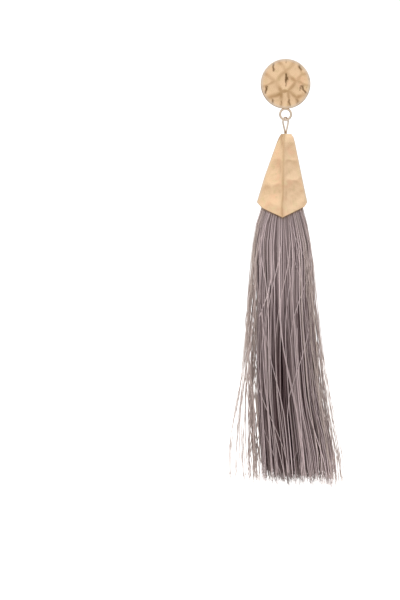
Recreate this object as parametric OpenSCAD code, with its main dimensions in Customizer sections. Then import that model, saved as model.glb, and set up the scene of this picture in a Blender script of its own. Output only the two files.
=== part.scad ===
// Tassel earring: a hammered ear disc with a post behind it and a ring below it,
// and a hammered four-sided cap with a long thread tassel, hung from the ring by
// an eye of wire. Millimetres, +Z up, and the front faces -Y. The origin lies on
// the post's axis at the back face of the disc, where the ear lobe sits.

/* [Ear disc] */
// Diameter of the disc
disc_d = 13.3; // [11:0.1:18]
// Thickness of the disc at its rim
disc_t = 1.6; // [1.3:0.1:2.4]
// How far the middle of the disc stands proud of its rim
disc_crown = 0.6; // [0.1:0.05:0.8]
// Rounding of the disc's front edge
disc_edge_r = 0.3; // [0.1:0.05:0.6]
// Depth of the deepest hammered dents
disc_dent_depth = 0.42; // [0.2:0.02:0.6]

/* [Ear post] */
// Diameter of the post
post_d = 0.8; // [0.6:0.05:1.2]
// Length of the post behind the disc
post_l = 11; // [8:0.5:14]
// Diameter of the post's foot
foot_d = 4; // [2:0.1:6]
// Thickness of the post's foot
foot_t = 0.5; // [0.3:0.05:0.8]
// Gap all round the foot in its seat
foot_gap = 0.05; // [0.02:0.01:0.2]

/* [Hanging ring] */
// Outer diameter of the ring below the disc
ring_d = 3.5; // [3:0.1:5]
// Thickness of the ring's wire
ring_wire = 0.56; // [0.4:0.02:0.8]
// How deep the ring's wire is let into the edge of the disc
ring_sunk = 0.24; // [0.1:0.02:0.4]
// Radius of the solder at the ring's joint
solder_r = 0.42; // [0.3:0.02:0.6]

/* [Wire eye] */
// Outer width of the eye
eye_w = 2.7; // [2.4:0.1:4]
// Height from the middle of the eye's bow down to where its legs meet
eye_leg_h = 2.85; // [2.2:0.05:5]
// Thickness of the eye's wire
eye_wire = 0.44; // [0.3:0.02:0.6]
// How far the eye is turned out of the plane of the ring
eye_turn = 50; // [45:1:90]
// Gap between the wires of the eye and the ring
link_gap = 0.12; // [0.1:0.01:0.3]
// Diameter of the bead of solder where the eye's legs meet
knot_d = 0.78; // [0.6:0.02:1.2]
// Diameter of the stem below the eye
stem_d = 0.7; // [0.5:0.05:0.9]
// Length of the stem
stem_l = 7; // [4:0.5:10]

/* [Cap] */
// Height of the cap from its top to its front and back points
cap_h = 22.5; // [18:0.5:28]
// Width of the cap across its side corners
cap_w = 13.7; // [11:0.1:18]
// Depth of the cap across its front and back points
cap_depth = 12.4; // [10:0.1:16]
// How far the side corners lie above the points
cap_corner_rise = 4.3; // [2:0.1:7]
// Thickness of the cap's sides
cap_wall = 0.8; // [0.5:0.05:1.2]
// Thickness of the cap's top
cap_top_t = 1.4; // [0.8:0.1:2.5]
// Width of the flats along the cap's arrises
cap_flat = 0.4; // [0.2:0.05:0.8]
// Depth of the deepest hammered dents in the cap
cap_dent_depth = 0.26; // [0.1:0.02:0.4]
// Distance from where the legs of the eye meet down to the cap's top
cap_drop = 0.45; // [0.3:0.05:1]
// Gap round the stem in the cap and in the tassel's head
stem_gap = 0.1; // [0.05:0.01:0.3]

/* [Tassel] */
// Length of the tassel below the points of the cap
tassel_l = 70.6; // [50:0.2:100]
// Width of the tassel near its lower end
tassel_w = 25.4; // [20:0.5:34]
// Depth of the tassel near its lower end
tassel_depth = 19.4; // [14:0.5:28]
// Number of locks round the tassel
lock_count = 24; // [14:1:30]
// How far the locks' lower ends differ in height from one to the next
lock_uneven = 1.6; // [0:0.2:5]
// How much higher the tassel ends at its left side than at its right
lock_slant = 3; // [0:0.2:6]
// Gap between the tassel's head and the inside of the cap
head_gap = 0.15; // [0.1:0.01:0.3]
// How far the head's neck runs down below the points of the cap
neck_l = 1; // [0.5:0.1:3]

/* [Hidden] */

GOLD = [0.86, 0.72, 0.54];
MAUVE = [0.52, 0.46, 0.46];
ROUND = 64;
BALL_ROUND = 160;
WIRE_ROUND = 32;
EDGE_STEPS = 5;
CROWN_STEPS = 8;
LEG_DRAWN = 0.96; // thickness of the eye's legs as a share of its bow's
LEG_LAP = 0.06; // how far a leg runs into the end of the bow
LOCK_SIDES = 8;
CORE_SIDES = 22;
LOCK_OVERLAP = 1.2; // thickness of a lock as a share of the room that it has
LOCK_TURN = 80; // how far a lock's wandering turns from one section to the next
FLARE_TOP = 0.2; // shares of the cap's height between which its sides' slope is taken
FLARE_LOW = 0.8;
CORE_SHARE = 0.90; // how far down the tassel its core runs
LOCK_TIP = 0.5; // thickness of a lock's end as a share of the lock's
LOCK_WANDER = 0.3; // how far a lock strays, as a share of the angle between two
GOLDEN = 137.5; // angle that spreads a row of values evenly
PAST = 1; // how far a cutting shape runs past the face that it cuts

disc_r = disc_d / 2;
crown_r = (disc_r * disc_r + disc_crown * disc_crown) / (2 * disc_crown);
foot_seat_t = foot_t + foot_gap;

ring_r = (ring_d - ring_wire) / 2;
ring_z = -(disc_r - ring_sunk) - ring_d / 2;
ring_y = -disc_t / 2;

eye_r = (eye_w - eye_wire) / 2;
eye_top_z = ring_z - ring_r + ring_wire / 2 + link_gap + eye_wire / 2;
eye_z = eye_top_z - eye_r;
legs_z = eye_z - eye_leg_h;
leg_angle = asin(eye_r / eye_leg_h);

cap_z = legs_z - cap_drop;
cap_tip_z = cap_z - cap_h;
corner_share = 1 - cap_corner_rise / cap_h;
neck_share = (corner_share + 1) / 2;

// Dents of the disc: across and up from its centre, radius and depth, the first
// three as shares of the disc's radius and the last of the deepest dent
DISC_DENTS = [
    // across, up, radius, depth
    [0.01, 0.07, 0.31, 1.00],
    [-0.42, 0.50, 0.36, 1.00],
    [0.03, 0.81, 0.29, 0.85],
    [0.37, 0.50, 0.31, 0.95],
    [0.76, 0.20, 0.29, 0.85],
    [0.52, -0.28, 0.33, 1.00],
    [0.25, -0.66, 0.26, 0.85],
    [-0.08, -0.68, 0.22, 0.75],
    [-0.40, -0.66, 0.26, 0.85],
    [-0.57, -0.23, 0.31, 0.95],
    [-0.75, 0.14, 0.27, 0.80],
    [0.66, -0.62, 0.22, 0.70],
    [0.72, 0.57, 0.22, 0.70],
];

// Sections of the cap: the place down its height as a share of the height, the
// reach to the left and right as shares of half the width, and the reach to the
// front and back as a share of half the depth
CAP_SECTIONS = [
    // down, left, right, depth
    [0.00, 0.13, 0.30, 0.20],
    [0.04, 0.21, 0.39, 0.30],
    [0.10, 0.29, 0.45, 0.37],
    [0.50, 0.735, 0.745, 0.645],
    [0.81, 1.02, 0.98, 0.865],
    [1.10, 1.28, 1.19, 1.07],
];

// Lean of the cap's front arris, at its top and its point, as shares of half the width
CAP_LEAN_TOP = -0.06;
CAP_LEAN_TIP = -0.13;

// Knees of the cap's lower edge, between each side corner and the points: the place
// across as a share of the reach at the corner, and down as a share of the corner's rise
CAP_KNEES = [
    // across, down
    [0.78, 0.39],
    [0.87, 0.31],
];

// Dents in the front of the cap: the side that they are on, the place across from
// the arris to the corner, the place down the height, the radius as a share of half
// the width, and the depth as a share of the deepest dent
LEFT = -1;
RIGHT = 1;
CAP_DENTS = [
    // side, across, down, radius, depth
    [LEFT, 0.52, 0.20, 0.31, 0.80],
    [LEFT, 0.50, 0.46, 0.44, 1.00],
    [LEFT, 0.66, 0.72, 0.38, 0.90],
    [LEFT, 0.20, 0.74, 0.32, 0.80],
    [RIGHT, 0.50, 0.22, 0.32, 0.90],
    [RIGHT, 0.45, 0.44, 0.38, 0.80],
    [RIGHT, 0.60, 0.62, 0.34, 0.90],
    [RIGHT, 0.30, 0.80, 0.36, 1.00],
];

// Sections of the tassel below the points of the cap: the place down its length as
// a share of the length, the width and the depth as shares of the tassel's, the
// middle as a share of half the width, and how round the section is, from 1 for
// four straight sides to 2 for an ellipse
TASSEL_SECTIONS = [
    // down, width, depth, middle, round
    [0.00, 0.470, 0.500, -0.075, 1.15],
    [0.05, 0.565, 0.600, -0.082, 1.55],
    [0.14, 0.650, 0.680, -0.065, 1.85],
    [0.32, 0.750, 0.770, -0.060, 2.00],
    [0.50, 0.830, 0.850, -0.030, 2.00],
    [0.68, 0.885, 0.910, 0.030, 2.00],
    [0.86, 0.965, 0.975, 0.130, 2.00],
    [0.96, 0.990, 1.000, 0.180, 2.00],
    [1.00, 0.960, 0.980, 0.200, 2.00],
];

// Rings of locks: how far out they lie as a share of the reach of the outer ring,
// their number as a share of its number, the place down the tassel where they
// start, how much shorter they are as a share of the tassel's length, and how
// thick they are as a share of the outer locks
LOCK_RINGS = [
    // out, number, start, short, thick
    [1.00, 1.00, 0.00, 0.000, 1.0],
    [0.66, 0.55, 0.86, 0.004, 1.5],
    [0.26, 0.22, 0.86, 0.010, 1.9],
];

// Value in one column of a table at a place down its first column
function at(table, down, column) = lookup(down, [for (row = table) [row[0], row[column]]]);

// Middle, left reach, right reach and depth reach of the cap at a share of its height
function cap_mid(down) = cap_w / 2 * (CAP_LEAN_TOP + (CAP_LEAN_TIP - CAP_LEAN_TOP) * down);
function cap_left(down) = cap_w / 2 * at(CAP_SECTIONS, down, 1);
function cap_right(down) = cap_w / 2 * at(CAP_SECTIONS, down, 2);
function cap_deep(down) = cap_depth / 2 * at(CAP_SECTIONS, down, 3);

// Distance from the cap's axis to one of its faces at a share of its height
function face_reach(down, side) =
    let (a = side == LEFT ? cap_left(down) : cap_right(down), b = cap_deep(down))
    a * b / norm([a, b]);

// Share that a section keeps when its four sides move in by a distance
function kept(down, inset) = 1 - inset / min(face_reach(down, LEFT), face_reach(down, RIGHT));

// Eight corners of the cap's section at a share of its height, its sides moved in
function cap_ring(down, inset) =
    let (
        k = kept(down, inset),
        f = cap_flat / 2 * k,
        m = cap_mid(down),
        l = cap_left(down) * k,
        r = cap_right(down) * k,
        d = cap_deep(down) * k,
        z = cap_z - cap_h * down
    )
    [
        [m + f, -d, z], [m + r, -f, z], [m + r, f, z], [m + f, d, z],
        [m - f, d, z], [m - l, f, z], [m - l, -f, z], [m - f, -d, z],
    ];

// Solid through a list of rings that all have the same number of corners
module loft(rings) {
    n = len(rings[0]);
    last = len(rings) - 1;
    points = [for (ring = rings) each ring];
    sides = [for (k = [0 : last - 1], i = [0 : n - 1])
        let (j = (i + 1) % n)
        [k * n + i, k * n + j, (k + 1) * n + j, (k + 1) * n + i]];
    top = [[for (i = [n - 1 : -1 : 0]) i]];
    bottom = [[for (i = [0 : n - 1]) last * n + i]];
    polyhedron(points = points, faces = concat(sides, top, bottom), convexity = 4);
}

// Blank of the disc, front face up, with a crowned front and a rounded edge
module disc_blank() {
    inner_r = disc_r - disc_edge_r;
    crown = [for (i = [0 : CROWN_STEPS])
        let (x = inner_r * i / CROWN_STEPS)
        [x, disc_t + disc_crown - (crown_r - sqrt(crown_r * crown_r - x * x))]];
    edge_z = crown[CROWN_STEPS][1] - disc_edge_r;
    edge = [for (i = [1 : EDGE_STEPS])
        let (a = 90 - 90 * i / EDGE_STEPS)
        [inner_r + disc_edge_r * cos(a), edge_z + disc_edge_r * sin(a)]];
    rotate_extrude($fn = ROUND * 2)
        polygon(concat([[0, 0]], crown, edge, [[disc_r, 0]]));
}

// Ball that leaves a dent of a radius and a depth in a surface that it is pressed
// into along -Z at the origin
module dent_ball(radius, depth) {
    ball_r = (radius * radius + depth * depth) / (2 * depth);
    translate([0, 0, ball_r - depth])
        sphere(r = ball_r, $fn = BALL_ROUND);
}

// All the dents of the disc, each pressed into the crown where it lies
module disc_dents() {
    for (dent = DISC_DENTS) {
        x = dent[0] * disc_r;
        y = dent[1] * disc_r;
        drop = crown_r - sqrt(crown_r * crown_r - x * x - y * y);
        translate([x, y, disc_t + disc_crown - drop])
            dent_ball(dent[2] * disc_r, dent[3] * disc_dent_depth);
    }
}

// Disc with its dents and its seat for the post's foot, and the ring soldered to it
module stud_disc() {
    color(GOLD) {
        rotate([90, 0, 0])
            difference() {
                disc_blank();
                disc_dents();
                translate([0, 0, -PAST])
                    cylinder(d = foot_d + 2 * foot_gap, h = foot_seat_t + PAST, $fn = ROUND);
            }
        translate([0, ring_y, ring_z])
            rotate([90, 0, 0])
                rotate_extrude($fn = ROUND)
                    translate([ring_r, 0])
                        circle(d = ring_wire, $fn = WIRE_ROUND);
        translate([0, ring_y, -disc_r])
            sphere(r = solder_r, $fn = WIRE_ROUND);
    }
}

// Post with its foot, turned in one piece, with a round end
module ear_post() {
    post_r = post_d / 2;
    tip = [for (i = [0 : EDGE_STEPS])
        let (a = 90 * i / EDGE_STEPS)
        [post_r * cos(a), post_l - post_r + post_r * sin(a)]];
    color(GOLD)
        rotate([-90, 0, 0])
            rotate_extrude($fn = ROUND)
                polygon(concat([[0, -foot_t], [foot_d / 2, -foot_t], [foot_d / 2, 0], [post_r, 0]], tip));
}

// Leg of the eye on one side, from its meeting place up into the end of the bow
module eye_leg(side) {
    leg_l = eye_leg_h * cos(leg_angle);
    translate([0, 0, legs_z])
        rotate([0, side * leg_angle, 0])
            cylinder(d = eye_wire * LEG_DRAWN, h = leg_l + LEG_LAP, $fn = WIRE_ROUND);
}

// Bow of wire round the ring, two legs that close below it, and the stem
module eye_loop() {
    bow = 180 + 2 * leg_angle;
    color(GOLD)
        translate([0, ring_y, 0])
            rotate([0, 0, eye_turn]) {
                translate([0, 0, eye_z])
                    rotate([90, 0, 0])
                        rotate([0, 0, -leg_angle])
                            rotate_extrude(angle = bow, $fn = ROUND)
                                translate([eye_r, 0])
                                    circle(d = eye_wire, $fn = WIRE_ROUND);
                eye_leg(1);
                eye_leg(-1);
                translate([0, 0, legs_z])
                    sphere(d = knot_d, $fn = WIRE_ROUND);
                translate([0, 0, legs_z - stem_l])
                    cylinder(d = stem_d, h = stem_l, $fn = WIRE_ROUND);
            }
}

// Front outline of the cap's lower edge, from above the cap to its points
module cap_front() {
    edge_z = cap_tip_z + cap_corner_rise;
    m = cap_mid(corner_share);
    left = m - cap_left(corner_share);
    right = m + cap_right(corner_share);
    tip = cap_mid(1);
    far = cap_w;
    polygon([
        [-far, cap_z + PAST],
        [-far, edge_z],
        [left, edge_z],
        [m + (left - m) * CAP_KNEES[0][0], edge_z - cap_corner_rise * CAP_KNEES[0][1]],
        [tip, cap_tip_z],
        [m + (right - m) * CAP_KNEES[1][0], edge_z - cap_corner_rise * CAP_KNEES[1][1]],
        [right, edge_z],
        [far, edge_z],
        [far, cap_z + PAST],
    ]);
}

// Dents of one half of the cap, the front for turn -1 and the back for turn 1. The
// back has the front's dents with left and right changed over.
module cap_dents(turn) {
    for (dent = CAP_DENTS) {
        side = -turn * dent[0];
        across = dent[1];
        down = dent[2];
        a = side == LEFT ? cap_left(down) : cap_right(down);
        b = cap_deep(down);
        spread = face_reach(FLARE_LOW, side) - face_reach(FLARE_TOP, side);
        flare = spread / ((FLARE_LOW - FLARE_TOP) * cap_h);
        out = atan2(turn * a, side * b);
        translate([cap_mid(down) + side * a * across, turn * b * (1 - across), cap_z - cap_h * down])
            rotate([0, 0, out])
                rotate([0, 90 - atan(flare), 0])
                    dent_ball(dent[3] * cap_w / 2, dent[4] * cap_dent_depth);
    }
}

// Hollow four-sided cap with a hole for the stem, and a lower edge that runs down
// from the side corners to a point at the front and one at the back
module tassel_cap() {
    hollow_top = cap_top_t / cap_h;
    inner = concat([hollow_top], [for (row = CAP_SECTIONS) if (row[0] > hollow_top) row[0]]);
    color(GOLD)
        translate([0, ring_y, 0])
            difference() {
                intersection() {
                    loft([for (row = CAP_SECTIONS) cap_ring(row[0], 0)]);
                    rotate([90, 0, 0])
                        translate([0, 0, -cap_depth])
                            linear_extrude(height = 2 * cap_depth)
                                cap_front();
                }
                loft([for (down = inner) cap_ring(down, cap_wall)]);
                translate([0, 0, cap_z - cap_top_t - PAST])
                    cylinder(d = stem_d + 2 * stem_gap, h = cap_top_t + 2 * PAST, $fn = WIRE_ROUND);
                cap_dents(-1);
                cap_dents(1);
            }
}

// Place on the outside of the tassel at a share of its length and an angle round
// it, moved in by a distance
function tassel_place(down, angle, inset) =
    let (
        a = tassel_w / 2 * at(TASSEL_SECTIONS, down, 1),
        b = tassel_depth / 2 * at(TASSEL_SECTIONS, down, 2),
        p = at(TASSEL_SECTIONS, down, 4),
        reach = pow(pow(abs(cos(angle)) / a, p) + pow(abs(sin(angle)) / b, p), -1 / p) - inset
    )
    [
        tassel_w / 2 * at(TASSEL_SECTIONS, down, 3) + reach * cos(angle),
        reach * sin(angle),
        cap_tip_z - tassel_l * down,
    ];

// Half thickness of a lock at a share of the tassel's length
function lock_r(down) =
    let (
        a = tassel_w / 2 * at(TASSEL_SECTIONS, down, 1),
        b = tassel_depth / 2 * at(TASSEL_SECTIONS, down, 2)
    )
    LOCK_OVERLAP * PI * (a + b) / 2 / lock_count;

// One bead of a lock, which the next one is joined to
module lock_bead(place, r) {
    translate(place)
        sphere(r = r / cos(180 / LOCK_SIDES), $fn = LOCK_SIDES);
}

// Tapered lock of one ring, made of short stretches that wander a little sideways
module lock(i, ring) {
    count = round(lock_count * ring[1]);
    wander = LOCK_WANDER * 360 / count;
    turn = 360 * i / count;
    uneven = lock_uneven * (0.5 - 0.5 * cos(i * GOLDEN)) + lock_slant * (0.5 - 0.5 * cos(turn));
    stretch = 1 - ring[3] - uneven / tassel_l;
    steps = [for (row = TASSEL_SECTIONS) if (row[0] >= ring[2]) row[0]];
    last = len(steps) - 1;
    beads = [for (k = [0 : last])
        let (
            down = steps[k] * stretch,
            angle = turn + wander * sin(i * GOLDEN + k * LOCK_TURN),
            edge = tassel_place(down, angle, lock_r(down)),
            axis = [tassel_w / 2 * at(TASSEL_SECTIONS, down, 3), 0, edge[2]]
        )
        [axis + (edge - axis) * ring[0], lock_r(down) * ring[4] * (k == last ? LOCK_TIP : 1)]];
    for (k = [1 : last])
        hull() {
            lock_bead(beads[k - 1][0], beads[k - 1][1]);
            lock_bead(beads[k][0], beads[k][1]);
        }
}

// Head of the tassel inside the cap, and the locks that run down from it
module tassel() {
    head_top = (cap_top_t + head_gap) / cap_h;
    inset = cap_wall + head_gap;
    head = [for (down = [head_top, 0.5, corner_share, neck_share]) cap_ring(down, inset)];
    neck = [for (p = cap_ring(neck_share, inset)) [p[0], p[1], cap_tip_z - neck_l]];
    core = [for (row = TASSEL_SECTIONS)
        [for (i = [0 : CORE_SIDES - 1])
            tassel_place(row[0] * CORE_SHARE, 360 * i / CORE_SIDES, lock_r(row[0]))]];
    color(MAUVE)
        translate([0, ring_y, 0])
            difference() {
                union() {
                    loft(concat(head, [neck]));
                    loft(core);
                    for (ring = LOCK_RINGS)
                        for (i = [0 : round(lock_count * ring[1]) - 1])
                            lock(i, ring);
                }
                translate([0, 0, legs_z - stem_l - stem_gap])
                    cylinder(d = stem_d + 2 * stem_gap, h = stem_l + PAST, $fn = WIRE_ROUND);
            }
}

stud_disc();
ear_post();
eye_loop();
tassel_cap();
tassel();
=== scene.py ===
"""Looks of a tassel earring: a hammered ear disc on a post, a wire eye, a hammered cap and a thread tassel.

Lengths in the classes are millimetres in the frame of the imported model: +Z up, -Y the front, the origin on
the post's axis at the back face of the disc. They become metres when a mesh is made.
"""

import logging
import math
from dataclasses import dataclass, field
from enum import Enum
from typing import Sequence

import bmesh
import bpy
import numpy as np
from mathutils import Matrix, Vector


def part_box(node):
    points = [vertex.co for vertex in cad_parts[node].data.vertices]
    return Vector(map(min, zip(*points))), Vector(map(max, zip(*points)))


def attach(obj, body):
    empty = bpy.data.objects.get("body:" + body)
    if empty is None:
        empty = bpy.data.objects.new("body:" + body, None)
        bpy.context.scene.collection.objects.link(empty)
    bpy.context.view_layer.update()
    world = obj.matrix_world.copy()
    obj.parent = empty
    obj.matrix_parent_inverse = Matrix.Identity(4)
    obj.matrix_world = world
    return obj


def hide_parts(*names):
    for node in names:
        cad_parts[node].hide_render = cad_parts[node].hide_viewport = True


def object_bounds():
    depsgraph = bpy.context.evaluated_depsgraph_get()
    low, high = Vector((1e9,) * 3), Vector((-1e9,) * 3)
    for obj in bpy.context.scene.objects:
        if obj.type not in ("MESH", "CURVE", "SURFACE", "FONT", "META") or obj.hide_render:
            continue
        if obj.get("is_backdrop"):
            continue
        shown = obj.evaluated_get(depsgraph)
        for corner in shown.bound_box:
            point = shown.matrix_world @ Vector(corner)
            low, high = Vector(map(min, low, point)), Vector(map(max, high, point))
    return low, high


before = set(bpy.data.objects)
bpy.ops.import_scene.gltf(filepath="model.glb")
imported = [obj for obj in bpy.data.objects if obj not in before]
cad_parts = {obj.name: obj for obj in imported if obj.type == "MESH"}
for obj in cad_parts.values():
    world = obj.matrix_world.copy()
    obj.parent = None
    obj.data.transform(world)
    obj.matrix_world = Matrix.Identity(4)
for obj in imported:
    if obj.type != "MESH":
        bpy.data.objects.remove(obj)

LOG = logging.getLogger("earring")
MM = 0.001
HANG_Y = -0.8
"""Place along Y of the plane that everything below the disc hangs in."""

Array = np.ndarray
Colour = tuple[float, float, float]
Span = tuple[float, float]
Points = list[tuple[float, float]]


class Body(Enum):
    """The two bodies of the earring."""

    STUD = "stud"
    DROP = "drop"


class Slot(Enum):
    """The record's material slots."""

    HAMMERED = "hammered_gold"
    PLAIN = "plain_gold"
    THREAD = "tassel_thread"


class Side(Enum):
    """A side of the cap, seen from the front."""

    LEFT = -1
    RIGHT = 1


def smooth(value: Array, start: float | Array, end: float | Array) -> Array:
    """Rises smoothly from 0 at start to 1 at end."""
    share = np.clip((value - start) / (end - start), 0.0, 1.0)
    return share * share * (3.0 - 2.0 * share)


def unit(vectors: Array) -> Array:
    """Vectors brought to length 1."""
    return vectors / np.linalg.norm(vectors, axis=-1, keepdims=True)


def column(rows: Sequence[object], name: str, down: Array) -> Array:
    """One field of a table of sections, at places down the height."""
    return np.interp(down, [row.down for row in rows], [getattr(row, name) for row in rows])


def box_mm(node: str) -> tuple[Array, Array]:
    """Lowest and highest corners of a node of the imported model, in millimetres."""
    low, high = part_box(node)
    return np.array(low) / MM, np.array(high) / MM


def arc(middle: tuple[float, float], radius: float, start: float, end: float, steps: int) -> Points:
    """Places along an arc, between two angles in degrees from the first axis towards the second."""
    turns = np.radians(np.linspace(start, end, steps + 1))
    return [(middle[0] + radius * math.cos(t), middle[1] + radius * math.sin(t)) for t in turns]


def ripple(points: Array, wave: float, seed: int, count: int = 7, peak: float = 1.6) -> Array:
    """Gentle unevenness, the same at each run.

    Args:
        points: Places in millimetres, in rows of three.
        wave: Mean length of a wave in millimetres.
        seed: Number that the waves are drawn from.
        count: Number of waves.
        peak: How far their sum reaches beyond its mean size.

    Returns:
        A value between about -1 and 1 for each place.
    """
    rng = np.random.default_rng(seed)
    total = np.zeros(len(points))
    for _ in range(count):
        way = rng.normal(size=3)
        way /= np.linalg.norm(way)
        pace = math.tau / (wave * rng.uniform(0.7, 1.5))
        total += np.sin(points @ way * pace + rng.uniform(0, math.tau))
    return total / math.sqrt(count / 2) / peak


@dataclass(frozen=True)
class HammerMarks:
    """Round hammer marks, with the steps to each place, in rows, from the middle of each mark, in columns."""

    steps: Array
    radius: Array
    depth: Array

    @property
    def cups(self) -> Array:
        """Depth of each mark at each place."""
        return self.depth * (1.0 - (self.steps**2).sum(axis=2) / self.radius**2)

    def sink(self, softness: float, least: float = 0.0) -> Array:
        """How far the marks sink the surface, with ridges as soft as a height and a least depth between."""
        cups = np.concatenate([self.cups, np.full((len(self.steps), 1), least)], axis=1)
        return softness * np.log(np.exp(cups / softness).sum(axis=1))

    def ridges(self, width: float, deep: Span = (0.45, 0.80)) -> Array:
        """Lines along the ridges between the marks.

        Args:
            width: How far a line reaches to each side.
            deep: Shares of the deepest mark between which the lines fade out.

        Returns:
            A share that is 1 on a ridge and 0 away from it and deep in a mark.
        """
        cups = self.cups
        slopes = self.steps * (2 * self.depth / self.radius**2)[:, None]
        rows, order = np.arange(len(cups)), np.argsort(cups, axis=1)
        first, second = (rows, order[:, -1]), (rows, order[:, -2])
        steep = np.linalg.norm(slopes[first] - slopes[second], axis=1)
        away = (cups[first] - cups[second]) / (steep + 1e-9)
        return (1.0 - smooth(away, 0.0, width)) * (1.0 - smooth(cups[first] / self.depth.max(), *deep))


class NodeBoard:
    """The nodes of one material or of the world, added one by one."""

    def __init__(self, tree: bpy.types.NodeTree) -> None:
        """Starts with an empty tree."""
        self.tree = tree
        tree.nodes.clear()

    def add(
        self,
        kind: str,
        settings: dict[str, object] | None = None,
        inputs: dict[str | int, object] | None = None,
        output: str | int = 0,
    ) -> "Signal":
        """Adds a node.

        Args:
            kind: Type of the node, without the words ShaderNode.
            settings: Properties of the node, which are set first.
            inputs: A value or a signal for each socket, by name or number.
            output: The socket that the signal leaves by.

        Returns:
            The signal.
        """
        node = self.tree.nodes.new("ShaderNode" + kind)
        for name, value in (settings or {}).items():
            setattr(node, name, value)
        for name, value in (inputs or {}).items():
            socket = node.inputs[name]
            if isinstance(value, Signal):
                self.tree.links.new(value.socket, socket)
            else:
                socket.default_value = (*value, 1.0) if socket.type == "RGBA" else value
        return Signal(self, node.outputs[output] if node.outputs else None)

    def blend(self, share: "Signal", first: object, second: object) -> "Signal":
        """Mixes two colours, by the numbers of the sockets that a Mix node has for colours."""
        return self.add("Mix", {"data_type": "RGBA"}, {0: share, 6: first, 7: second}, 2)

    def coats(self, colour: object, *coats: tuple["Signal", Colour]) -> "Signal":
        """Lays colours over a first one.

        Args:
            colour: The first colour.
            coats: Share and colour of each coat.

        Returns:
            The colour that shows.
        """
        for share, over in coats:
            colour = self.blend(share, colour, over)
        return colour

    def attribute(self, name: str) -> "Signal":
        """Reads a number that is stored at each vertex."""
        return self.add("Attribute", {"attribute_name": name}, output="Fac")

    def noise(self, place: "Signal", scale: float, detail: float, roughness: float = 0.5) -> "Signal":
        """Adds noise at a place, with its scale, detail and roughness."""
        inputs = {"Vector": place, "Scale": scale, "Detail": detail, "Roughness": roughness}
        return self.add("TexNoise", None, inputs)

    def split(self, vector: "Signal") -> list["Signal"]:
        """Splits a vector into its X, Y and Z."""
        node = self.add("SeparateXYZ", None, {"Vector": vector}).socket.node
        return [Signal(self, socket) for socket in node.outputs]


@dataclass(frozen=True)
class Signal:
    """What leaves a node's socket, with arithmetic that adds Math nodes."""

    board: NodeBoard
    socket: bpy.types.NodeSocket | None

    def maths(self, operation: str, *values: object) -> "Signal":
        """Adds a Math node on the values given."""
        return self.board.add("Math", {"operation": operation}, dict(enumerate(values)))

    def __add__(self, other: "Signal | float") -> "Signal":
        """Adds, on either side."""
        return self.maths("ADD", self, other)

    def __sub__(self, other: "Signal | float") -> "Signal":
        """Subtracts."""
        return self.maths("SUBTRACT", self, other)

    def __rsub__(self, other: float) -> "Signal":
        """Subtracts from a number."""
        return self.maths("SUBTRACT", other, self)

    def __mul__(self, other: "Signal | float") -> "Signal":
        """Multiplies, on either side."""
        return self.maths("MULTIPLY", self, other)

    __radd__, __rmul__ = __add__, __mul__

    def __abs__(self) -> "Signal":
        """Drops the sign."""
        return self.maths("ABSOLUTE", self)

    def wave(self) -> "Signal":
        """Sine of the value."""
        return self.maths("SINE", self)

    def step(self, start: float, end: float) -> "Signal":
        """Goes smoothly from 0 at one value to 1 at another, which may be the lower of the two.

        Args:
            start: Value at which it is 0.
            end: Value at which it is 1.

        Returns:
            The signal.
        """
        inputs = {"Value": self, "From Min": min(start, end), "From Max": max(start, end)}
        inputs |= {"To Min": float(start > end), "To Max": float(start < end)}
        return self.board.add("MapRange", {"interpolation_type": "SMOOTHSTEP"}, inputs)


def new_material(name: str) -> tuple[bpy.types.Material, NodeBoard]:
    """Makes a material with an empty board.

    Args:
        name: Name of the material.

    Returns:
        The material and its board.
    """
    material = bpy.data.materials.new(name)
    material.use_nodes = True
    return material, NodeBoard(material.node_tree)


def finish_surface(board: NodeBoard, inputs: dict[str, object]) -> None:
    """Ends a board with a Principled surface that has these inputs."""
    surface = board.add("BsdfPrincipled", None, inputs)
    board.add("OutputMaterial", None, {"Surface": surface})


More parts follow.
